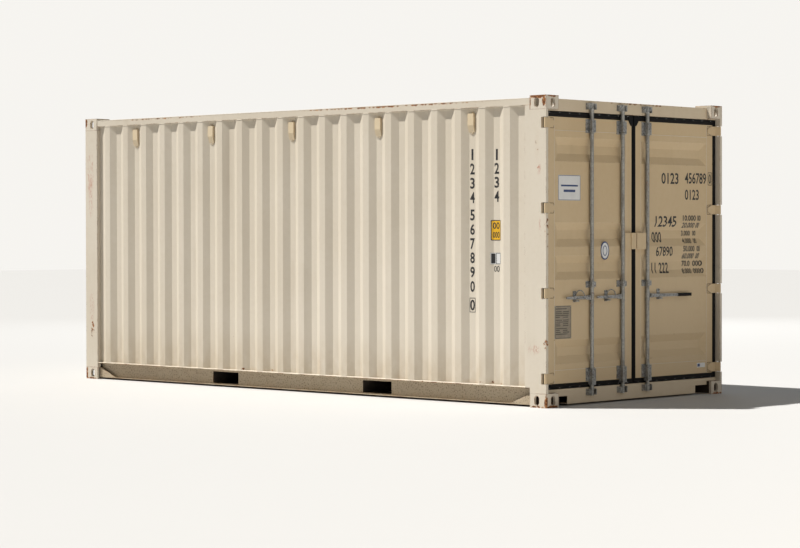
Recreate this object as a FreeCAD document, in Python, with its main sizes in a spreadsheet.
import FreeCAD, Part
import os
import re
import Sketcher
from FreeCAD import Placement, Rotation, Vector

# A twenty-foot steel shipping container, standing on its four lower corner castings.
# X runs along its length with the doors at the +X end, Y across it, and Z is up.
# Left and right are as seen by someone facing the doors, so left is the -Y side.

DIMENSIONS = {
    # whole container
    "length": 6058,
    "width": 2438,
    "height": 2591,
    # corner castings and their apertures
    "casting_length": 178,
    "casting_width": 162,
    "casting_height": 118,
    "casting_wall": 28,
    "casting_back": 14,
    "lock_inset_x": 102.5,
    "lock_inset_y": 89.5,
    "lock_slot_length": 124,
    "lock_slot_width": 63.5,
    "side_slot_length": 79,
    "side_slot_width": 51,
    # pressed sheets
    "sheet": 2,
    "side_crest": 72,
    "side_slope": 68,
    "side_valley": 70,
    "side_depth": 32,
    "side_first_flat": 56,
    "side_recess": 6,
    "front_crest": 110,
    "front_slope": 18,
    "front_valley": 104,
    "front_depth": 45,
    "front_first_flat": 48,
    "front_recess": 4,
    "roof_trough": 91,
    "roof_slope": 14,
    "roof_pitch": 209,
    "roof_depth": 20,
    "roof_margin": 70,
    # bottom frame
    "frame_plate": 6,
    "bottom_rail_bottom": 17,
    "bottom_rail_top": 165,
    "bottom_rail_plate": 4.5,
    "bottom_rail_recess": 54,
    "bottom_rail_lip": 4,
    "bottom_rail_foot": 30,
    "gusset_run": 250,
    "gusset_rise": 100,
    "cross_member_bottom": 24,
    "cross_member_height": 122,
    "cross_member_flange": 45,
    "cross_member_plate": 4,
    "cross_member_spacing": 285,
    "floor_thickness": 28,
    "pocket_inner": 826,
    "pocket_width": 359,
    "pocket_floor": 31,
    "pocket_strap": 220,
    # top frame
    "top_rail_size": 55,
    "top_rail_plate": 3,
    "top_rail_drop": 24,
    "top_rail_recess": 4,
    # posts
    "rear_post_side": 232,
    "rear_post_flange": 29,
    "rear_post_return": 20,
   
    # door frame
    "door_recess": 50,
    "header_drop": 125,
    "header_stop": 20,
    "header_depth": 114,
    "sill_top": 145,
    "sill_depth": 119,
    "sill_notch_width": 170,
    "sill_notch_height": 85,
    # door leaves
    "leaf_thickness": 50,
    "leaf_gap_bottom": 47,
    "leaf_gap_top": 49,
    "leaf_gap_side": 50,
    "seam_left": 27,
    "seam_right": 29,
    "seam_gap_left": 10,
    "seam_gap_right": 1,
    "stile_inner": 75,
    "stile_outer": 85,
    "leaf_rail": 100,
    "recess_inner": 109,
    "recess_margin": 92,
    "recess_flat": 72,
    "recess_slope": 66,
    "recess_depth": 30,
    "recess_first": 456,
    "recess_second": 1160,
    "recess_third": 1436,
    "recess_fourth_drop": 268,
    "door_clearance": 5,
    # hinges
    "pin_inset_x": 17,
    "pin_inset_y": 15,
    "pin_radius": 6,
    "pin_clearance": 0.3,
    "knuckle_radius": 13.5,
    "knuckle_height": 82,
    "hinge_gap": 4,
    "blade_plate": 10,
    "blade_lap": 78,
    "hinge_margin_low": 50,
    "hinge_margin_high": 52.5,
    # locking bars
    "bar_radius": 17,
    "bar_gap": 5,
    "bar_below_cam": 30,
    "bar_above_cam": 30,
    "bar_one": -590,
    "bar_two": -174,
    "bar_three": 170,
    "bar_clearance": 0.6,
    "cam_reach": 30,
    "cam_plate": 20,
    "cam_height": 26,
    "cam_low_drop": 40,
    "cam_high_rise": 52,
    "keeper_inner": 38,
    "keeper_outer": 55,
    "keeper_height": 52,
    "keeper_depth": 38,
    "guide_plate": 4,
    "guide_left": 58,
    "guide_right": 61,
    "guide_strap": 25,
    "guide_low_drop": 27,
    "guide_low_rise": 118,
    "guide_high_depth": 124,
    "guide_high_drop": 6,
    "guide_mid": 1015,
    "guide_mid_height": 56,
    # handles
    "handle_level": 905,
    "handle_plate": 10,
    "handle_root": 30,
    "handle_butt": 10,
    "handle_tip": 20,
    "handle_short": 344,
    "handle_middle": 359,
    "handle_long": 609,
    "grip_length": 190,
    "grip_thickness": 16,
    "grip_height": 28,
    "hub_half": 19,
    "hub_back": 12,
    "hub_front": 4,
    "pivot_offset": 44,
    "pivot_radius": 6,
    "pivot_head": 11,
    "catch_radius": 62,
    "catch_wire": 4,
    "retainer_one": -794,
    "retainer_two": -378,
    "retainer_three": 344,
    "retainer_half": 21,
    "retainer_bottom": 868,
    "retainer_top": 962,
    "retainer_lug": 12,
    "eye_radius": 6,
    "eye_wire": 2.5,
    # lock box and plate
    "lock_box_bottom": 1310,
    "lock_box_top": 1450,
    "lock_box_depth": 41,
    "lock_box_left": 152,
    "lock_box_step": 73,
    "lock_box_right": 127,
    "lock_box_tab": 18,
    "data_plate_margin": 87,
    "data_plate_width": 215,
    "data_plate_bottom": 565,
    "data_plate_top": 842,
    "data_plate_sheet": 1.5,
    # ventilators
    "vent_first": 1,
    "vent_every": 4,
    "vent_width": 66,
    "vent_depth": 26,
    "vent_height": 160,
    "vent_drop": 47,
    "vent_slope": 60,
    "vent_tab": 13,
}

# Levels and edges that follow from the dimensions, used by name in the formulas below.
PLACES = {
    "lock_spacing_x": "(length - 2*lock_inset_x)",
    "lock_spacing_y": "(width - 2*lock_inset_y)",
    "top_rail_top": "(height - top_rail_drop)",
    "rear_post_inner": "(width/2 - rear_post_flange - rear_post_return)",
    "header_bottom": "(height - header_drop)",
    "leaf_bottom": "(sill_top + leaf_gap_bottom)",
    "leaf_top": "(header_bottom - leaf_gap_top)",
    "leaf_side": "(width/2 - rear_post_flange - leaf_gap_side)",
    "recess_outer": "(leaf_side - recess_margin)",
    "recess_fourth": "(leaf_top - recess_fourth_drop)",
    "blade_end": "(leaf_side - blade_lap)",
    "hinge_first": "(leaf_bottom + hinge_margin_low)",
    "hinge_spacing": "((leaf_top - leaf_bottom - hinge_margin_low - hinge_margin_high)/3)",
    "cam_low": "(sill_top - cam_low_drop)",
    "cam_high": "(header_bottom + cam_high_rise)",
    "bar_bottom": "(cam_low - bar_below_cam)",
    "bar_top": "(cam_high + bar_above_cam)",
    "guide_low_bottom": "(leaf_bottom - guide_low_drop)",
    "guide_low_top": "(leaf_bottom + guide_low_rise)",
    "guide_high_bottom": "(leaf_top - guide_high_depth)",
    "guide_high_top": "(leaf_top - guide_high_drop)",
    "data_plate_left": "(leaf_side - data_plate_margin)",
    "data_plate_right": "(leaf_side - data_plate_margin - data_plate_width)",
    "vent_top": "(top_rail_top - top_rail_size - vent_drop)",
    "vent_bottom": "(vent_top - vent_height)",
}

# Places that several pieces share, written with the dimensions above.
END = "length/2"
SIDE = "width/2"
CASTING_INSIDE_X = "(length/2 - casting_length)"
CASTING_INSIDE_Y = "(width/2 - casting_width)"
POST_BOTTOM = "casting_height"
POST_TOP = "(height - casting_height)"
CREST = "(width/2 - side_recess)"
VALLEY = "(width/2 - side_recess - side_depth)"
RAIL_FACE = "(width/2 - side_recess - bottom_rail_recess)"
RAIL_INSIDE = f"({RAIL_FACE} - bottom_rail_plate)"
FLOOR_BOTTOM = "(cross_member_bottom + cross_member_height)"
FLOOR_TOP = "(cross_member_bottom + cross_member_height + floor_thickness)"
TOP_RAIL_BOTTOM = "(top_rail_top - top_rail_size)"
WALL_START = "(-length/2 + casting_length)"
WALL_END = "(length/2 - rear_post_side)"
DOOR_FACE = "(length/2 - door_recess)"
DOOR_BACK = "(length/2 - door_recess - leaf_thickness)"
STOP_FACE = "(length/2 - door_recess - leaf_thickness - door_clearance)"
FLANGE_INSIDE = "(width/2 - rear_post_flange)"
GASKET_SIDE = "(width/2 - rear_post_flange - door_clearance)"
GASKET_BOTTOM = "(sill_top + door_clearance)"
GASKET_TOP = "(header_bottom - door_clearance)"
PIN_X = "(length/2 - pin_inset_x)"
PIN_Y = "(width/2 - pin_inset_y)"
BAR_X = f"({DOOR_FACE} + bar_gap + bar_radius)"
HUB_X = f"({BAR_X} + hub_front)"
HUB_BACK = f"({BAR_X} - hub_back)"
HANDLE_BACK = f"({HUB_X} + bar_clearance)"
HANDLE_FRONT = f"({HANDLE_BACK} + handle_plate)"
SIDE_PITCH = "(side_crest + 2*side_slope + side_valley)"
SIDE_WAVES = f"floor(({WALL_END} - {WALL_START} - side_first_flat)/{SIDE_PITCH})"

doc = FreeCAD.newDocument("shipping_container")
sheet = doc.addObject("Spreadsheet::Sheet", "Dims")
for row, (alias, number) in enumerate(DIMENSIONS.items(), start=1):
    sheet.set(f"A{row}", alias)
    sheet.set(f"B{row}", str(number))
    sheet.setAlias(f"B{row}", alias)
doc.recompute()

subparts = []


def formula(text):
    """The expression with each place spelled out and each dimension's name pointing at its cell."""
    def cell(word):
        name = word.group(0)
        if name in PLACES:
            return formula(PLACES[name])
        return "Dims." + name if name in DIMENSIONS else name
    return re.sub(r"[a-z_]+", cell, str(text))


def value(text):
    """The expression's number, for counts and for a sketch's first position."""
    return float(sheet.evalExpression(formula(text)))


def bind(item, prop, text):
    item.setExpression(prop, formula(text))


def across(side, near, far):
    """A stretch on the +Y side, or its mirror image on the -Y side."""
    return (near, far) if side > 0 else (f"-({far})", f"-({near})")


def signed(side, text):
    return text if side > 0 else f"-({text})"


def block(name, x, y, z):
    item = doc.addObject("Part::Box", name)
    for prop, axis, (low, high) in (("Length", "x", x), ("Width", "y", y), ("Height", "z", z)):
        bind(item, prop, f"({high}) - ({low})")
        bind(item, f"Placement.Base.{axis}", low)
    return item


def rod(name, axis, centre, radius, low, high):
    """A round bar along one axis; centre gives its other two coordinates in order."""
    turns = {"x": Rotation(Vector(0, 1, 0), 90), "y": Rotation(Vector(1, 0, 0), -90), "z": Rotation()}
    others = [letter for letter in "xyz" if letter != axis]
    item = doc.addObject("Part::Cylinder", name)
    item.Placement = Placement(Vector(), turns[axis])
    bind(item, "Radius", radius)
    bind(item, "Height", f"({high}) - ({low})")
    bind(item, f"Placement.Base.{axis}", low)
    for letter, place in zip(others, centre):
        bind(item, f"Placement.Base.{letter}", place)
    return item


def joined(name, items):
    item = doc.addObject("Part::MultiFuse", name)
    item.Shapes = items
    item.Refine = True
    return item


def cut(name, base, tools):
    item = doc.addObject("Part::Cut", name)
    item.Base = base
    item.Tool = tools[0] if len(tools) == 1 else joined(f"{name}_tools", tools)
    return item


def group(name, items):
    item = doc.addObject("Part::Compound", name)
    item.Links = items
    return item


def mirrored(name, source, normal, middle="0"):
    item = doc.addObject("Part::Mirroring", name)
    item.Source = source
    item.Normal = Vector(*normal)
    if normal[2]:
        bind(item, "Base.z", middle)
    return item


def finished(label, item):
    item.Label = label
    subparts.append(item)
    return item


def plane(body, role):
    return next(feature for feature in body.Origin.OriginFeatures if feature.Role == role)


def outline(body, name, role, points, offset="0"):
    """A closed sketch of straight lines through the points, each held by two distances."""
    sketch = body.newObject("Sketcher::SketchObject", name)
    sketch.AttachmentSupport = [(plane(body, role), "")]
    sketch.MapMode = "FlatFace"
    bind(sketch, "AttachmentOffset.Base.z", offset)
    places = [Vector(value(across_axis), value(up_axis), 0) for across_axis, up_axis in points]
    count = len(points)
    lines = [Part.LineSegment(places[i], places[(i + 1) % count]) for i in range(count)]
    sketch.addGeometry(lines, False)
    sketch.addConstraint([Sketcher.Constraint("Coincident", i, 2, (i + 1) % count, 1) for i in range(count)])
    for i, (across_axis, up_axis) in enumerate(points):
        for kind, text, number in (("DistanceX", across_axis, places[i].x), ("DistanceY", up_axis, places[i].y)):
            row = sketch.addConstraint(Sketcher.Constraint(kind, -1, 1, i, 1, number))
            bind(sketch, f"Constraints[{row}]", text)
    return sketch


def pad(body, name, sketch, length):
    feature = body.newObject("PartDesign::Pad", name)
    feature.Profile = sketch
    bind(feature, "Length", length)
    return feature


def extruded(name, role, points, low, high):
    """A straight piece with a drawn section, from low to high along the section's normal."""
    body = doc.addObject("PartDesign::Body", name)
    offset = f"-({high})" if role == "XZ_Plane" else low
    sketch = outline(body, f"{name}_section", role, points, offset)
    pad(body, f"{name}_pad", sketch, f"({high}) - ({low})")
    return body


def slot(name, axis, long_axis, centre, width, length, low, high):
    """A cutter with round ends; centre is a dictionary of the two coordinates across the axis."""
    middle = [letter for letter in "xyz" if letter != axis]
    spans = {axis: (low, high)}
    for letter in middle:
        half = f"(({length}) - ({width}))/2" if letter == long_axis else f"({width})/2"
        spans[letter] = (f"{centre[letter]} - {half}", f"{centre[letter]} + {half}")
    pieces = [block(f"{name}_middle", spans["x"], spans["y"], spans["z"])]
    for end, sign in (("low", "-"), ("high", "+")):
        places = []
        for letter in middle:
            shift = f" {sign} (({length}) - ({width}))/2" if letter == long_axis else ""
            places.append(centre[letter] + shift)
        pieces.append(rod(f"{name}_{end}", axis, places, f"({width})/2", low, high))
    return joined(name, pieces)


# Corner castings: hollow boxes with an aperture in the end, the side and the bottom or top.

def cornerCasting():
    shell = block("casting_shell", (CASTING_INSIDE_X, END), (CASTING_INSIDE_Y, SIDE), ("0", "casting_height"))
    cavity = block("casting_cavity",
                   (f"{CASTING_INSIDE_X} + casting_back", "length/2 - casting_wall"),
                   (f"{CASTING_INSIDE_Y} + casting_back", "width/2 - casting_wall"),
                   ("casting_wall", "casting_height - casting_back"))
    lock = {"x": "lock_spacing_x/2", "y": "lock_spacing_y/2", "z": "casting_height/2"}
    bottom = slot("casting_lock_slot", "z", "x", lock, "lock_slot_width", "lock_slot_length",
                  "-casting_wall", "2*casting_wall")
    end = slot("casting_end_slot", "x", "z", lock, "side_slot_width", "side_slot_length",
               "length/2 - 2*casting_wall", "length/2 + casting_wall")
    side = slot("casting_side_slot", "y", "z", lock, "side_slot_width", "side_slot_length",
                "width/2 - 2*casting_wall", "width/2 + casting_wall")
    return cut("casting_lower", shell, [cavity, bottom, end, side])


lowerCasting = cornerCasting()
upperCasting = mirrored("casting_upper", lowerCasting, (0, 0, 1), "height/2")
rearCastings = [lowerCasting, upperCasting,
                mirrored("casting_lower_left", lowerCasting, (0, 1, 0)),
                mirrored("casting_upper_left", upperCasting, (0, 1, 0))]
finished("corner_castings_rear", group("corner_castings_rear", rearCastings))
frontCastings = [mirrored(f"casting_front_{i}", item, (1, 0, 0)) for i, item in enumerate(rearCastings)]
finished("corner_castings_front", group("corner_castings_front", frontCastings))


# Bottom side rails: channels that open outwards, in three lengths with the fork pockets between them.

POCKET_OUTER = "(pocket_inner + pocket_width)"
RAIL_FOOT = f"({RAIL_FACE} + bottom_rail_foot)"
RAIL_TIP = f"({CREST} + bottom_rail_lip)"


def railChannel(name, low, high):
    section = [
        (RAIL_INSIDE, "bottom_rail_bottom"), (RAIL_FOOT, "bottom_rail_bottom"),
        (RAIL_FOOT, "bottom_rail_bottom + bottom_rail_plate"),
        (RAIL_FACE, "bottom_rail_bottom + bottom_rail_plate"),
        (RAIL_FACE, "bottom_rail_top - bottom_rail_plate"),
        (RAIL_TIP, "bottom_rail_top - bottom_rail_plate"), (RAIL_TIP, "bottom_rail_top"),
        (RAIL_INSIDE, "bottom_rail_top"),
    ]
    return extruded(name, "YZ_Plane", section, low, high)


def endRail(name, end):
    """The length from a fork pocket to the casting, with a tapered gusset beside the casting."""
    channel = railChannel(f"{name}_channel", *across(end, POCKET_OUTER, CASTING_INSIDE_X))
    foot = "bottom_rail_bottom + bottom_rail_plate"
    inside = signed(end, CASTING_INSIDE_X)
    corners = [(inside, foot), (signed(end, f"{CASTING_INSIDE_X} - gusset_run"), foot),
               (inside, f"{foot} + gusset_rise")]
    gusset = extruded(f"{name}_gusset", "XZ_Plane", corners, f"{RAIL_FOOT} - frame_plate", RAIL_FOOT)
    return joined(name, [channel, gusset])


def pocketSurrounds():
    """What the rail leaves over and under each fork pocket."""
    over = [(RAIL_INSIDE, f"{FLOOR_BOTTOM} - frame_plate"), (RAIL_FACE, f"{FLOOR_BOTTOM} - frame_plate"),
            (RAIL_FACE, "bottom_rail_top - bottom_rail_plate"), (RAIL_TIP, "bottom_rail_top - bottom_rail_plate"),
            (RAIL_TIP, "bottom_rail_top"), (RAIL_INSIDE, "bottom_rail_top")]
    under = [(RAIL_INSIDE, "bottom_rail_bottom"), (RAIL_FOOT, "bottom_rail_bottom"),
             (RAIL_FOOT, "bottom_rail_bottom + bottom_rail_plate"),
             (RAIL_FACE, "bottom_rail_bottom + bottom_rail_plate"),
             (RAIL_FACE, "pocket_floor"), (RAIL_INSIDE, "pocket_floor")]
    pieces = []
    for end in (-1, 1):
        for place, section in (("over", over), ("under", under)):
            right = extruded(f"pocket_{place}_{end + 1}", "YZ_Plane", section,
                             *across(end, "pocket_inner", POCKET_OUTER))
            pieces += [right, mirrored(f"pocket_{place}_{end + 1}_left", right, (0, 1, 0))]
    return group("fork_pocket_surrounds", pieces)


def railPair(name, right):
    return group(name, [right, mirrored(f"{name}_left", right, (0, 1, 0))])


finished("bottom_side_rails_front", railPair("bottom_side_rails_front", endRail("rail_front_right", -1)))
finished("bottom_side_rails_middle", railPair("bottom_side_rails_middle",
                                              railChannel("rail_middle_right", "-pocket_inner", "pocket_inner")))
finished("bottom_side_rails_rear", railPair("bottom_side_rails_rear", endRail("rail_rear_right", 1)))
finished("fork_pocket_surrounds", pocketSurrounds())


# Top side rails: square tubes between the upper castings.

def topSideRail(name):
    outside = "width/2 - top_rail_recess"
    inside = f"{outside} - top_rail_size"
    tube = block(f"{name}_tube", (f"-{CASTING_INSIDE_X}", CASTING_INSIDE_X), (inside, outside),
                 (TOP_RAIL_BOTTOM, "top_rail_top"))
    bore = block(f"{name}_bore", ("-length/2", "length/2"),
                 (f"{inside} + top_rail_plate", f"{outside} - top_rail_plate"),
                 (f"{TOP_RAIL_BOTTOM} + top_rail_plate", "top_rail_top - top_rail_plate"))
    return cut(name, tube, [bore])


rightTopRail = topSideRail("top_side_rail_right")
finished("top_side_rail_right", rightTopRail)
finished("top_side_rail_left", mirrored("top_side_rail_left", rightTopRail, (0, 1, 0)))


# Front frame: sill channel and header tube between the front castings.

def frontSill():
    face = "-length/2 + front_recess"
    corners = [
        (face, "bottom_rail_bottom"),
        (f"{face} + front_depth + 3*sheet", "bottom_rail_bottom"),
        (f"{face} + front_depth + 3*sheet", "bottom_rail_bottom + frame_plate"),
        (f"{face} + frame_plate", "bottom_rail_bottom + frame_plate"),
        (f"{face} + frame_plate", "bottom_rail_top - frame_plate"),
        (f"{face} + front_depth + 3*sheet", "bottom_rail_top - frame_plate"),
        (f"{face} + front_depth + 3*sheet", "bottom_rail_top"),
        (face, "bottom_rail_top"),
    ]
    return extruded("front_sill", "XZ_Plane", corners, f"-{CASTING_INSIDE_Y}", CASTING_INSIDE_Y)


def frontHeader():
    face = "-length/2 + front_recess"
    tube = block("front_header_tube", (face, f"{face} + top_rail_size"),
                 (f"-{CASTING_INSIDE_Y}", CASTING_INSIDE_Y), (TOP_RAIL_BOTTOM, "top_rail_top"))
    bore = block("front_header_bore",
                 (f"{face} + top_rail_plate", f"{face} + top_rail_size - top_rail_plate"),
                 ("-width/2", "width/2"),
                 (f"{TOP_RAIL_BOTTOM} + top_rail_plate", "top_rail_top - top_rail_plate"))
    apron = block("front_header_apron", (f"{face} + top_rail_size", f"-{CASTING_INSIDE_X}"),
                  (f"-{CASTING_INSIDE_Y}", CASTING_INSIDE_Y),
                  ("top_rail_top - top_rail_plate", "top_rail_top"))
    return joined("front_header", [cut("front_header_hollow", tube, [bore]), apron])


finished("front_sill", frontSill())
finished("front_header", frontHeader())


# Front posts: plate folded into an open corner that meets both corrugated walls.

def frontPost(name):
    end = "-length/2"
    inside_x = WALL_START
    inside_y = CASTING_INSIDE_Y
    lip_x = "(-length/2 + front_recess + front_depth + sheet)"
    lip_y = f"({VALLEY} - 2*sheet)"
    corners = [
        (inside_x, lip_y), (inside_x, SIDE), (end, SIDE), (end, inside_y), (lip_x, inside_y),
        (lip_x, f"{inside_y} + frame_plate"), (f"{end} + frame_plate", f"{inside_y} + frame_plate"),
        (f"{end} + frame_plate", f"{SIDE} - frame_plate"),
        (f"{inside_x} - frame_plate", f"{SIDE} - frame_plate"), (f"{inside_x} - frame_plate", lip_y),
    ]
    return extruded(name, "XY_Plane", corners, POST_BOTTOM, POST_TOP)


rightFrontPost = frontPost("front_post_right")
finished("front_post_right", rightFrontPost)
finished("front_post_left", mirrored("front_post_left", rightFrontPost, (0, 1, 0)))


# Rear posts: box sections with a flange beside the door, notched for the hinges, and the hinge pins.

def rearPost(name):
    inner = "rear_post_inner"
    corners = [
        (CASTING_INSIDE_X, SIDE), (END, SIDE), (END, FLANGE_INSIDE), (STOP_FACE, FLANGE_INSIDE),
        (STOP_FACE, inner), (CASTING_INSIDE_X, inner),
    ]
    section = extruded(f"{name}_section", "XY_Plane", corners, POST_BOTTOM, POST_TOP)
    wing = block(f"{name}_wing", (WALL_END, CASTING_INSIDE_X), (inner, SIDE),
                 ("bottom_rail_top", TOP_RAIL_BOTTOM))
    cutters = [block(f"{name}_hollow", (f"{WALL_END} + frame_plate", f"{STOP_FACE} - frame_plate"),
                     (f"{inner} + frame_plate", f"{SIDE} - frame_plate"), ("0", "height"))]
    pins = []
    for i in range(4):
        middle = f"hinge_first + {i}*hinge_spacing"
        half = "(knuckle_height/2 + hinge_gap)"
        cutters.append(block(f"{name}_notch_{i}", (f"{DOOR_FACE} - hinge_gap", f"{END} + 10"),
                             (f"{FLANGE_INSIDE} - 10", f"{SIDE} + 10"), (f"{middle} - {half}", f"{middle} + {half}")))
        pins.append(rod(f"{name}_pin_{i}", "z", (PIN_X, PIN_Y), "pin_radius",
                        f"{middle} - {half}", f"{middle} + {half}"))
    shell = cut(f"{name}_notched", joined(f"{name}_solid", [section, wing]), cutters)
    return joined(name, [shell] + pins)


rightRearPost = rearPost("rear_post_right")
finished("rear_post_right", rightRearPost)
finished("rear_post_left", mirrored("rear_post_left", rightRearPost, (0, 1, 0)))


# Door header and sill.

def doorHeader():
    back = f"{DOOR_FACE} - header_depth"
    inner = "rear_post_inner"
    upper = block("door_header_upper", (back, DOOR_FACE), (f"-{CASTING_INSIDE_Y}", CASTING_INSIDE_Y),
                  (POST_TOP, "top_rail_top"))
    lower = block("door_header_lower", (STOP_FACE, DOOR_FACE), (f"-{FLANGE_INSIDE}", FLANGE_INSIDE),
                  ("header_bottom", POST_TOP))
    stop = block("door_header_stop", (back, STOP_FACE), (f"-{inner}", inner),
                 ("header_bottom - header_stop", POST_TOP))
    bore = block("door_header_bore", (f"{back} + frame_plate", f"{DOOR_FACE} - frame_plate"),
                 ("-width/2", "width/2"), (f"{POST_TOP} + frame_plate", "top_rail_top - frame_plate"))
    apron = block("door_header_apron", (CASTING_INSIDE_X, back), (f"-{CASTING_INSIDE_Y}", CASTING_INSIDE_Y),
                  ("top_rail_top - top_rail_plate", "top_rail_top"))
    return joined("door_header", [cut("door_header_hollow", upper, [bore]), lower, stop, apron])


def doorSill():
    back = f"({DOOR_FACE} - sill_depth)"
    front = DOOR_FACE
    corners = [
        (front, "bottom_rail_bottom"), (front, "sill_top"), (STOP_FACE, "sill_top"), (STOP_FACE, FLOOR_TOP),
        (back, FLOOR_TOP), (back, f"{FLOOR_TOP} - frame_plate"),
        (f"{STOP_FACE} - frame_plate", f"{FLOOR_TOP} - frame_plate"),
        (f"{STOP_FACE} - frame_plate", "sill_top - frame_plate"),
        (f"{front} - frame_plate", "sill_top - frame_plate"),
        (f"{front} - frame_plate", "bottom_rail_bottom + frame_plate"),
        (back, "bottom_rail_bottom + frame_plate"), (back, "bottom_rail_bottom"),
    ]
    middle = extruded("door_sill_section", "XZ_Plane", corners, f"-{CASTING_INSIDE_Y}", CASTING_INSIDE_Y)
    ends = []
    for side in (-1, 1):
        ends.append(block(f"door_sill_end_{side + 1}", (STOP_FACE, front),
                          across(side, CASTING_INSIDE_Y, FLANGE_INSIDE), (POST_BOTTOM, "sill_top")))
        ends.append(block(f"door_sill_stop_{side + 1}", (back, STOP_FACE),
                          across(side, CASTING_INSIDE_Y, "rear_post_inner"), (POST_BOTTOM, FLOOR_TOP)))
    notches = [block(f"door_sill_notch_{side + 1}", (f"{back} - 10", f"{front} + 10"),
                     across(side, f"{CASTING_INSIDE_Y} - sill_notch_width", CASTING_INSIDE_Y),
                     ("0", "sill_notch_height")) for side in (-1, 1)]
    return joined("door_sill", [cut("door_sill_notched", middle, notches)] + ends)


finished("door_header", doorHeader())
finished("door_sill", doorSill())


# Corrugated walls: one wave is drawn and repeated, with a flat margin at each end.

def corrugatedWall(name, kind, start, end, outside, low, high):
    crest, slope, depth = f"{kind}_crest", f"{kind}_slope", f"{kind}_depth"
    valley, first_flat = f"{kind}_valley", f"{kind}_first_flat"
    pitch = f"({crest} + 2*{slope} + {valley})"
    waves = f"floor(({end} - {start} - {first_flat})/{pitch})"
    wave_start = f"({start} + {first_flat})"
    inner = f"({outside} - {depth})"
    body = doc.addObject("PartDesign::Body", name)

    def sheetPad(part, places):
        back = [(along, f"{out} - sheet") for along, out in reversed(places)]
        sketch = outline(body, f"{name}_{part}_section", "XY_Plane", places + back, low)
        return pad(body, f"{name}_{part}", sketch, f"({high}) - ({low})")

    sheetPad("first_flat", [(start, inner), (wave_start, inner)])
    wave = sheetPad("wave", [
        (wave_start, inner),
        (f"{wave_start} + {slope}", outside),
        (f"{wave_start} + {slope} + {crest}", outside),
        (f"{wave_start} + 2*{slope} + {crest}", inner),
        (f"{wave_start} + {pitch}", inner),
    ])
    pattern = body.newObject("PartDesign::LinearPattern", f"{name}_waves")
    pattern.Originals = [wave]
    pattern.Direction = (plane(body, "X_Axis"), [""])
    bind(pattern, "Length", f"{pitch}*({waves} - 1)")
    bind(pattern, "Occurrences", waves)
    body.Tip = pattern
    sheetPad("last_flat", [(f"{wave_start} + {waves}*{pitch}", inner), (end, inner)])
    return body


rightWall = corrugatedWall("side_wall_right", "side", WALL_START, WALL_END, CREST,
                           "bottom_rail_top", TOP_RAIL_BOTTOM)
finished("side_wall_right", rightWall)
finished("side_wall_left", mirrored("side_wall_left", rightWall, (0, 1, 0)))

frontWall = corrugatedWall("front_wall", "front", f"(-{CASTING_INSIDE_Y})", CASTING_INSIDE_Y,
                           "(length/2 - front_recess)", "bottom_rail_top", TOP_RAIL_BOTTOM)
frontWall.Placement = Placement(Vector(), Rotation(Vector(0, 0, 1), 90))
finished("front_wall", frontWall)


# Roof: one sheet with pressed cross ridges, open underneath.

def roofWedge(name, place, base, shrink):
    """One trough (shrink is 0) or the hollow in it (shrink is the sheet)."""
    item = doc.addObject("Part::Wedge", name)
    item.Placement = Placement(Vector(), Rotation(Vector(1, 0, 0), -90))
    wide = f"(roof_trough/2 + roof_slope - {shrink})"
    reach = f"(width/2 - top_rail_recess - roof_margin - {shrink})"
    sizes = (("Xmax", wide), ("X2max", f"{wide} - roof_slope"), ("Zmax", reach),
             ("Z2max", f"{reach} - roof_slope"), ("Ymax", "roof_depth"),
             ("Xmin", f"-{wide}"), ("X2min", f"-({wide} - roof_slope)"), ("Zmin", f"-{reach}"),
             ("Z2min", f"-({reach} - roof_slope)"), ("Ymin", "0"))
    for prop, text in sizes:
        bind(item, prop, text)
    bind(item, "Placement.Base.x", place)
    bind(item, "Placement.Base.z", base)
    return item


def roof():
    """A flat sheet with troughs pressed down into it, which stop short of the rails."""
    half_width = "(width/2 - top_rail_recess)"
    panel = block("roof_panel", (f"-{CASTING_INSIDE_X}", CASTING_INSIDE_X),
                  (f"-{half_width}", half_width), ("top_rail_top", "top_rail_top + sheet"))
    gaps = int(value(f"2*{CASTING_INSIDE_X} - roof_trough - 2*roof_slope") // value("roof_pitch"))
    places = [f"roof_pitch*({i} - {gaps}/2)" for i in range(gaps + 1)]
    troughs = [roofWedge(f"roof_trough_{i}", place, "top_rail_top", "0") for i, place in enumerate(places)]
    hollows = [roofWedge(f"roof_hollow_{i}", place, "top_rail_top + sheet", "sheet")
               for i, place in enumerate(places)]
    return cut("roof", joined("roof_pressed", [panel] + troughs), hollows)


finished("roof", roof())


# Floor, cross members and fork pockets.

finished("floor", block("floor", ("-length/2 + front_recess + front_depth + 3*sheet",
                                  f"{DOOR_FACE} - sill_depth"),
                        (f"-({RAIL_INSIDE} - 1)", f"{RAIL_INSIDE} - 1"), (FLOOR_BOTTOM, FLOOR_TOP)))


def crossMember(name, back, facing):
    """A channel across the container; its web is at back and its flanges point along facing."""
    tip = f"({back}) + {facing}*cross_member_flange"
    inner = f"({back}) + {facing}*cross_member_plate"
    low, high = "cross_member_bottom", FLOOR_BOTTOM
    corners = [
        (back, low), (tip, low), (tip, f"{low} + cross_member_plate"), (inner, f"{low} + cross_member_plate"),
        (inner, f"{high} - cross_member_plate"), (tip, f"{high} - cross_member_plate"), (tip, high), (back, high),
    ]
    return extruded(name, "XZ_Plane", corners, f"-{RAIL_INSIDE}", RAIL_INSIDE)


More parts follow.
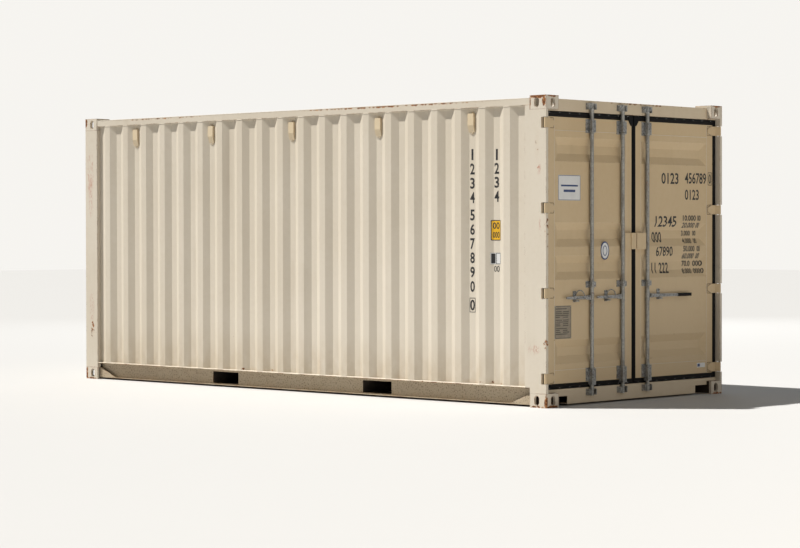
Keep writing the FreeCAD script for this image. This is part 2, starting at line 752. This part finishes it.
def crossMembers():
    pieces = []
    pocket_end = value("pocket_inner + pocket_width")
    spacing = value("cross_member_spacing")
    middle_count = int((value("pocket_inner") - spacing / 2) // spacing) + 1
    for i in range(middle_count):
        for end in (-1, 1):
            place = signed(end, f"cross_member_spacing*({i} + 0.5)")
            pieces.append(crossMember(f"cross_member_middle_{i}_{end + 1}", place, -end))
    outer_count = int((value(CASTING_INSIDE_X) - pocket_end - value("cross_member_flange")) // spacing)
    for i in range(1, outer_count + 1):
        for end in (-1, 1):
            place = signed(end, f"pocket_inner + pocket_width + {i}*cross_member_spacing")
            pieces.append(crossMember(f"cross_member_outer_{i}_{end + 1}", place, -end))
    return group("cross_members", pieces)


def forkPocket(name, end):
    """A tunnel of separate welded plates: a top, two sides, and a strap under each mouth."""
    inner, outer = "pocket_inner", POCKET_OUTER
    reach = (f"-{RAIL_INSIDE}", RAIL_INSIDE)
    under = f"{FLOOR_BOTTOM} - frame_plate"
    plates = [
        block(f"{name}_top", across(end, f"{inner} - frame_plate", f"{outer} + frame_plate"), reach,
              (under, FLOOR_BOTTOM)),
        block(f"{name}_near", across(end, f"{inner} - frame_plate", inner), reach,
              ("cross_member_bottom", under)),
        block(f"{name}_far", across(end, outer, f"{outer} + frame_plate"), reach,
              ("cross_member_bottom", under)),
    ]
    for side in (-1, 1):
        plates.append(block(f"{name}_strap_{side + 1}", across(end, inner, outer),
                            across(side, f"{RAIL_INSIDE} - pocket_strap", RAIL_INSIDE),
                            ("pocket_floor - frame_plate", "pocket_floor")))
    return group(name, plates)


finished("cross_members", crossMembers())
finished("fork_pocket_front", forkPocket("fork_pocket_front", -1))
finished("fork_pocket_rear", forkPocket("fork_pocket_rear", 1))


# Ventilators: small boxes that stand in a valley under the top rail, sloping at the foot.

def ventilators():
    pieces = []
    count = int((value(SIDE_WAVES) - 2) // value("vent_every")) + 1
    front = f"{VALLEY} + vent_depth"
    for i in range(count):
        centre = (f"({WALL_START} + side_first_flat + (vent_first + {i}*vent_every)*{SIDE_PITCH}"
                  " + 2*side_slope + side_crest + side_valley/2)")
        section = [(VALLEY, "vent_bottom"), (f"{VALLEY} + vent_depth/3", "vent_bottom"),
                   (front, "vent_bottom + vent_slope"), (front, "vent_top"), (VALLEY, "vent_top")]
        box = extruded(f"vent_{i}_box", "YZ_Plane", section,
                       f"{centre} - vent_width/2", f"{centre} + vent_width/2")
        tabs = [block(f"vent_{i}_tab_{level}", (f"{centre} - vent_tab", f"{centre} + vent_tab"),
                      (VALLEY, f"{VALLEY} + 4*sheet"), (place, f"{place} + vent_tab"))
                for level, place in enumerate(("vent_bottom - vent_tab", "vent_top"))]
        pieces.append(joined(f"vent_{i}", [box] + tabs))
    return group("ventilators_right", pieces)


rightVents = ventilators()
finished("ventilators", group("ventilators", [rightVents, mirrored("ventilators_left", rightVents, (0, 1, 0))]))


# Doors. Each leaf is a frame with a front sheet that has four pressed recesses across it.

def recessWedge(name, side, level, grow):
    """A pressed recess's outside (grow is the sheet) or its hollow (grow is 0)."""
    item = doc.addObject("Part::Wedge", name)
    item.Placement = Placement(Vector(), Rotation(Vector(0, 0, 1), 90))
    half = f"((recess_outer - recess_inner)/2 + {grow})"
    tall = f"(recess_flat/2 + recess_slope + {grow})"
    sizes = (("Xmax", half), ("X2max", f"{half} - recess_slope"), ("Zmax", tall),
             ("Z2max", f"{tall} - recess_slope"), ("Ymax", f"recess_depth + {grow}"),
             ("Xmin", f"-{half}"), ("X2min", f"-({half} - recess_slope)"), ("Zmin", f"-{tall}"),
             ("Z2min", f"-({tall} - recess_slope)"), ("Ymin", "0"))
    for prop, text in sizes:
        bind(item, prop, text)
    bind(item, "Placement.Base.x", DOOR_FACE)
    bind(item, "Placement.Base.y", signed(side, "(recess_outer + recess_inner)/2"))
    bind(item, "Placement.Base.z", level)
    return item


def doorLeaf(name, side, seam):
    slab = block(f"{name}_slab", (DOOR_BACK, DOOR_FACE), across(side, seam, "leaf_side"),
                 ("leaf_bottom", "leaf_top"))
    hollow = block(f"{name}_hollow", (f"{DOOR_BACK} - 10", f"{DOOR_FACE} - sheet"),
                   across(side, f"{seam} + stile_inner", "leaf_side - stile_outer"),
                   ("leaf_bottom + leaf_rail", "leaf_top - leaf_rail"))
    levels = ("recess_first", "recess_second", "recess_third", "recess_fourth")
    shells = [recessWedge(f"{name}_shell_{i}", side, level, "sheet") for i, level in enumerate(levels)]
    hollows = [recessWedge(f"{name}_recess_{i}", side, level, "0") for i, level in enumerate(levels)]
    return cut(name, joined(f"{name}_pressed", [cut(f"{name}_frame", slab, [hollow])] + shells), hollows)


def doorGasket(name, side, seam, gap):
    outer = block(f"{name}_outer", (DOOR_BACK, DOOR_FACE), across(side, gap, GASKET_SIDE),
                  (GASKET_BOTTOM, GASKET_TOP))
    inner = block(f"{name}_inner", (f"{DOOR_BACK} - 10", f"{DOOR_FACE} + 10"), across(side, seam, "leaf_side"),
                  ("leaf_bottom", "leaf_top"))
    return cut(name, outer, [inner])


def hingeBlades(name, side):
    """Straps lying on the leaf that rise to the knuckle around each hinge pin."""
    blades = []
    for i in range(4):
        middle = f"hinge_first + {i}*hinge_spacing"
        low, high = f"{middle} - knuckle_height/2", f"{middle} + knuckle_height/2"
        places = [
            (DOOR_FACE, "blade_end"), (DOOR_FACE, f"{FLANGE_INSIDE} - door_clearance/2"),
            (f"{PIN_X} - 9", f"{PIN_Y} + 3"), (f"{PIN_X} + 9", f"{PIN_Y} - 9"),
            (f"{DOOR_FACE} + blade_plate", f"{FLANGE_INSIDE} - 20"), (f"{DOOR_FACE} + blade_plate", "blade_end"),
        ]
        corners = [(along, signed(side, out)) for along, out in places]
        strap = extruded(f"{name}_{i}_strap", "XY_Plane", corners, low, high)
        taper = []
        for edge, sign in ((low, "+"), (high, "-")):
            tip = [("blade_end - 1", edge), ("blade_end + 60", edge), ("blade_end - 1", f"{edge} {sign} 24")]
            points = [(signed(side, out), up) for out, up in tip]
            taper.append(extruded(f"{name}_{i}_taper_{len(taper)}", "YZ_Plane", points,
                                  f"{DOOR_FACE} - 1", f"{DOOR_FACE} + blade_plate + 1"))
        knuckle = rod(f"{name}_{i}_knuckle", "z", (PIN_X, signed(side, PIN_Y)), "knuckle_radius", low, high)
        bore = rod(f"{name}_{i}_bore", "z", (PIN_X, signed(side, PIN_Y)), "pin_radius + pin_clearance",
                   f"{low} - 10", f"{high} + 10")
        body = joined(f"{name}_{i}_body", [cut(f"{name}_{i}_tapered", strap, taper), knuckle])
        blades.append(cut(f"{name}_{i}", body, [bore]))
    return group(name, blades)


def barGuides(name, bars):
    """Plates on the leaf with a strap that holds each bar near its ends and its middle."""
    guides = []
    for number, bar in bars:
        spans = (("guide_low_bottom", "guide_low_top", "leaf_bottom + 5"),
                 ("guide_mid - guide_mid_height/2", "guide_mid + guide_mid_height/2", None),
                 ("guide_high_bottom", "guide_high_top", None))
        for i, (low, high, plate_low) in enumerate(spans):
            label = f"{name}_{number}_{i}"
            strap_low = low if plate_low else f"{low} + guide_mid_height/8"
            plate = block(f"{label}_plate", (DOOR_FACE, f"{DOOR_FACE} + guide_plate"),
                          (f"{bar} - guide_left", f"{bar} + guide_right"), (plate_low or low, high))
            strap = block(f"{label}_strap", (DOOR_FACE, f"{BAR_X} + guide_strap"),
                          (f"{bar} - guide_strap", f"{bar} + guide_strap"),
                          (strap_low, f"{high} - guide_mid_height/8"))
            bore = rod(f"{label}_bore", "z", (BAR_X, bar), "bar_radius + bar_clearance",
                       f"{low} - 10", f"{high} + 10")
            guides.append(cut(label, joined(f"{label}_body", [plate, strap]), [bore]))
    return group(name, guides)


def handleRetainers(name, places):
    """A foot plate, a ledge under the handle and an eye for a seal above it."""
    pieces = []
    for number, place in places:
        label = f"{name}_{number}"
        span = (f"{place} - retainer_half", f"{place} + retainer_half")
        plate = block(f"{label}_plate", (DOOR_FACE, f"{DOOR_FACE} + guide_plate"), span,
                      ("retainer_bottom", "retainer_top"))
        ledge = block(f"{label}_ledge", (DOOR_FACE, HANDLE_FRONT), span,
                      ("handle_level - handle_root/2 - door_clearance - retainer_lug",
                       "handle_level - handle_root/2 - door_clearance"))
        eye = doc.addObject("Part::Torus", f"{label}_eye")
        eye.Placement = Placement(Vector(), Rotation(Vector(1, 0, 0), 90))
        bind(eye, "Radius1", "eye_radius")
        bind(eye, "Radius2", "eye_wire")
        bind(eye, "Placement.Base.x", f"{DOOR_FACE} + guide_plate + eye_radius + eye_wire/2")
        bind(eye, "Placement.Base.y", place)
        bind(eye, "Placement.Base.z", "retainer_top - eye_radius - eye_wire")
        pieces.append(joined(label, [plate, ledge, eye]))
    return group(name, pieces)


def lockBoxLeft():
    step = block("lock_box_left_step", (DOOR_FACE, f"{DOOR_FACE} + 0.75*lock_box_depth"),
                 ("-lock_box_left", "-lock_box_step"), ("lock_box_bottom", "lock_box_top"))
    tab = block("lock_box_left_tab", (DOOR_FACE, f"{DOOR_FACE} + 3*guide_plate"),
                ("-lock_box_left + lock_box_tab", "-lock_box_step"),
                ("lock_box_bottom - lock_box_tab", "lock_box_bottom"))
    cover = block("lock_box_left_cover", (DOOR_FACE, f"{DOOR_FACE} + lock_box_depth"),
                  ("-lock_box_step", "-seam_gap_left"), ("lock_box_bottom", "lock_box_top"))
    return joined("lock_box_left", [step, tab, cover])


leftBars = (("one", "bar_one"), ("two", "bar_two"))
rightBars = (("three", "bar_three"),)
finished("door_leaf_left", doorLeaf("door_leaf_left", -1, "seam_left"))
finished("door_leaf_right", doorLeaf("door_leaf_right", 1, "seam_right"))
finished("door_gasket_left", doorGasket("door_gasket_left", -1, "seam_left", "seam_gap_left"))
finished("door_gasket_right", doorGasket("door_gasket_right", 1, "seam_right", "seam_gap_right"))
finished("hinge_blades_left", hingeBlades("hinge_blades_left", -1))
finished("hinge_blades_right", hingeBlades("hinge_blades_right", 1))
finished("bar_guides_left", barGuides("bar_guides_left", leftBars))
finished("bar_guides_right", barGuides("bar_guides_right", rightBars))
finished("handle_retainers_left", handleRetainers("handle_retainers_left",
                                                  (("one", "retainer_one"), ("two", "retainer_two"))))
finished("handle_retainer_right", handleRetainers("handle_retainer_right", (("three", "retainer_three"),)))
finished("lock_box_left", lockBoxLeft())
finished("lock_box_right", block("lock_box_right", (DOOR_FACE, f"{DOOR_FACE} + lock_box_depth"),
                                 ("seam_gap_right", "lock_box_right"), ("lock_box_bottom", "lock_box_top")))
finished("data_plate", block("data_plate", (DOOR_FACE, f"{DOOR_FACE} + data_plate_sheet"),
                             ("-data_plate_left", "-data_plate_right"),
                             ("data_plate_bottom", "data_plate_top")))


# Cam keepers: two horns beside each bar end, on the sill and on the header.

def camKeepers():
    horns = []
    for number, bar in leftBars + rightBars:
        for level in ("cam_low", "cam_high"):
            for side in (-1, 1):
                places = [(DOOR_FACE, "keeper_inner"), (f"{DOOR_FACE} + keeper_depth", "keeper_inner"),
                          (f"{DOOR_FACE} + keeper_depth", "keeper_inner + 8"), (DOOR_FACE, "keeper_outer")]
                corners = [(along, f"{bar} + ({signed(side, out)})") for along, out in places]
                horns.append(extruded(f"keeper_{number}_{level}_{side + 1}", "XY_Plane", corners,
                                      f"{level} - keeper_height/2", f"{level} + keeper_height/2"))
    return group("cam_keepers", horns)


finished("cam_keepers", camKeepers())


# Locking bars with a cam at each end and the hub that carries the handle.

def lockBar(number, bar, facing):
    name = f"lock_bar_{number}"
    shaft = rod(f"{name}_shaft", "z", (BAR_X, bar), "bar_radius", "bar_bottom", "bar_top")
    pieces = [shaft]
    for level in ("cam_low", "cam_high"):
        reach = (bar, f"{bar} + cam_reach") if facing > 0 else (f"{bar} - cam_reach", bar)
        pieces.append(block(f"{name}_{level}", (f"{BAR_X} - cam_plate/2", f"{BAR_X} + cam_plate/2"), reach,
                            (f"{level} - cam_height/2", f"{level} + cam_height/2")))
    along = "+" if facing > 0 else "-"
    pivot = f"({bar} {along} pivot_offset)"
    tip = f"{pivot} {along} hub_half"
    pieces.append(block(f"{name}_hub", (HUB_BACK, HUB_X), (bar, tip) if facing > 0 else (tip, bar),
                        ("handle_level - hub_half", "handle_level + hub_half")))
    pieces.append(rod(f"{name}_pivot", "x", (pivot, "handle_level"), "pivot_radius", BAR_X,
                      f"{HANDLE_FRONT} + bar_clearance"))
    pieces.append(rod(f"{name}_head", "x", (pivot, "handle_level"), "pivot_head",
                      f"{HANDLE_FRONT} + bar_clearance", f"{HANDLE_FRONT} + bar_clearance + guide_plate"))
    return joined(name, pieces)


def handle(number, bar, facing, length, catch):
    name = f"handle_{number}"
    along = "+" if facing > 0 else "-"
    back = "-" if facing > 0 else "+"
    root, tip = "handle_root/2", "handle_tip/2"
    pivot = f"({bar} {along} pivot_offset)"
    corners = [
        (f"{pivot} {back} handle_butt", f"handle_level - {root}"),
        (f"{pivot} {along} 2*hub_half", f"handle_level - {root}"),
        (f"{bar} {along} {length}", f"handle_level - {tip}"),
        (f"{bar} {along} {length}", f"handle_level + {tip}"),
        (f"{pivot} {along} 2*hub_half", f"handle_level + {root}"),
        (f"{pivot} {back} handle_butt", f"handle_level + {root}"),
    ]
    pieces = [extruded(f"{name}_lever", "YZ_Plane", corners, HANDLE_BACK, HANDLE_FRONT)]
    if catch:
        arm = doc.addObject("Part::Torus", f"{name}_catch")
        arm.Placement = Placement(Vector(), Rotation(Vector(0, 1, 0), 90))
        bind(arm, "Radius1", "catch_radius")
        bind(arm, "Radius2", "catch_wire")
        bind(arm, "Placement.Base.x", f"{HANDLE_BACK} + handle_plate/2")
        bind(arm, "Placement.Base.y", f"{pivot} {along} 2*catch_radius")
        bind(arm, "Placement.Base.z", "handle_level")
        half = doc.addObject("Part::Box", f"{name}_catch_zone")
        for prop in ("Length", "Width", "Height"):
            bind(half, prop, "4*catch_radius")
        bind(half, "Placement.Base.x", f"{HANDLE_BACK} - catch_radius")
        bind(half, "Placement.Base.y", f"{pivot} {along} 2*catch_radius - 2*catch_radius")
        bind(half, "Placement.Base.z", "handle_level")
        upper = doc.addObject("Part::Common", f"{name}_catch_arm")
        upper.Base = arm
        upper.Tool = half
        pieces.append(upper)
    bore = rod(f"{name}_bore", "x", (pivot, "handle_level"), "pivot_radius + pin_clearance",
               f"{HANDLE_BACK} - 10", f"{HANDLE_FRONT} + 10")
    return cut(name, joined(f"{name}_body", pieces) if len(pieces) > 1 else pieces[0], [bore])


BARS = (("one", "bar_one", -1, "handle_short", True),
        ("two", "bar_two", -1, "handle_middle", True),
        ("three", "bar_three", 1, "handle_long", False))
for number, bar, facing, length, catch in BARS:
    finished(f"lock_bar_{number}", lockBar(number, bar, facing))
    finished(f"handle_{number}", handle(number, bar, facing, length, catch))

# The long handle ends in a rubber grip, a sleeve around the lever.
gripTip = "(bar_three + handle_long)"
gripOuter = block("handle_grip_outer",
                  (f"{HANDLE_BACK} + handle_plate/2 - grip_thickness/2",
                   f"{HANDLE_BACK} + handle_plate/2 + grip_thickness/2"),
                  (f"{gripTip} - grip_length", f"{gripTip} + 3"),
                  ("handle_level - grip_height/2", "handle_level + grip_height/2"))
finished("handle_grip", cut("handle_grip", gripOuter, [doc.getObject("handle_three")]))

doc.recompute()
for item in doc.Objects:
    assert "Invalid" not in item.State and "Error" not in item.State, f"{item.Name}: {item.State}"
for item in subparts:
    assert not item.Shape.isNull() and item.Shape.isValid(), item.Label
os.makedirs("parts", exist_ok=True)
for item in subparts:
    item.Shape.exportStep(f"parts/{item.Label}.step")
    box = item.Shape.BoundBox
    print(f"{item.Label}: {len(item.Shape.Solids)} solids, volume {item.Shape.Volume / 1e6:.3f} dm3, "
          f"{box.XMin:.0f}..{box.XMax:.0f} {box.YMin:.0f}..{box.YMax:.0f} {box.ZMin:.0f}..{box.ZMax:.0f}")
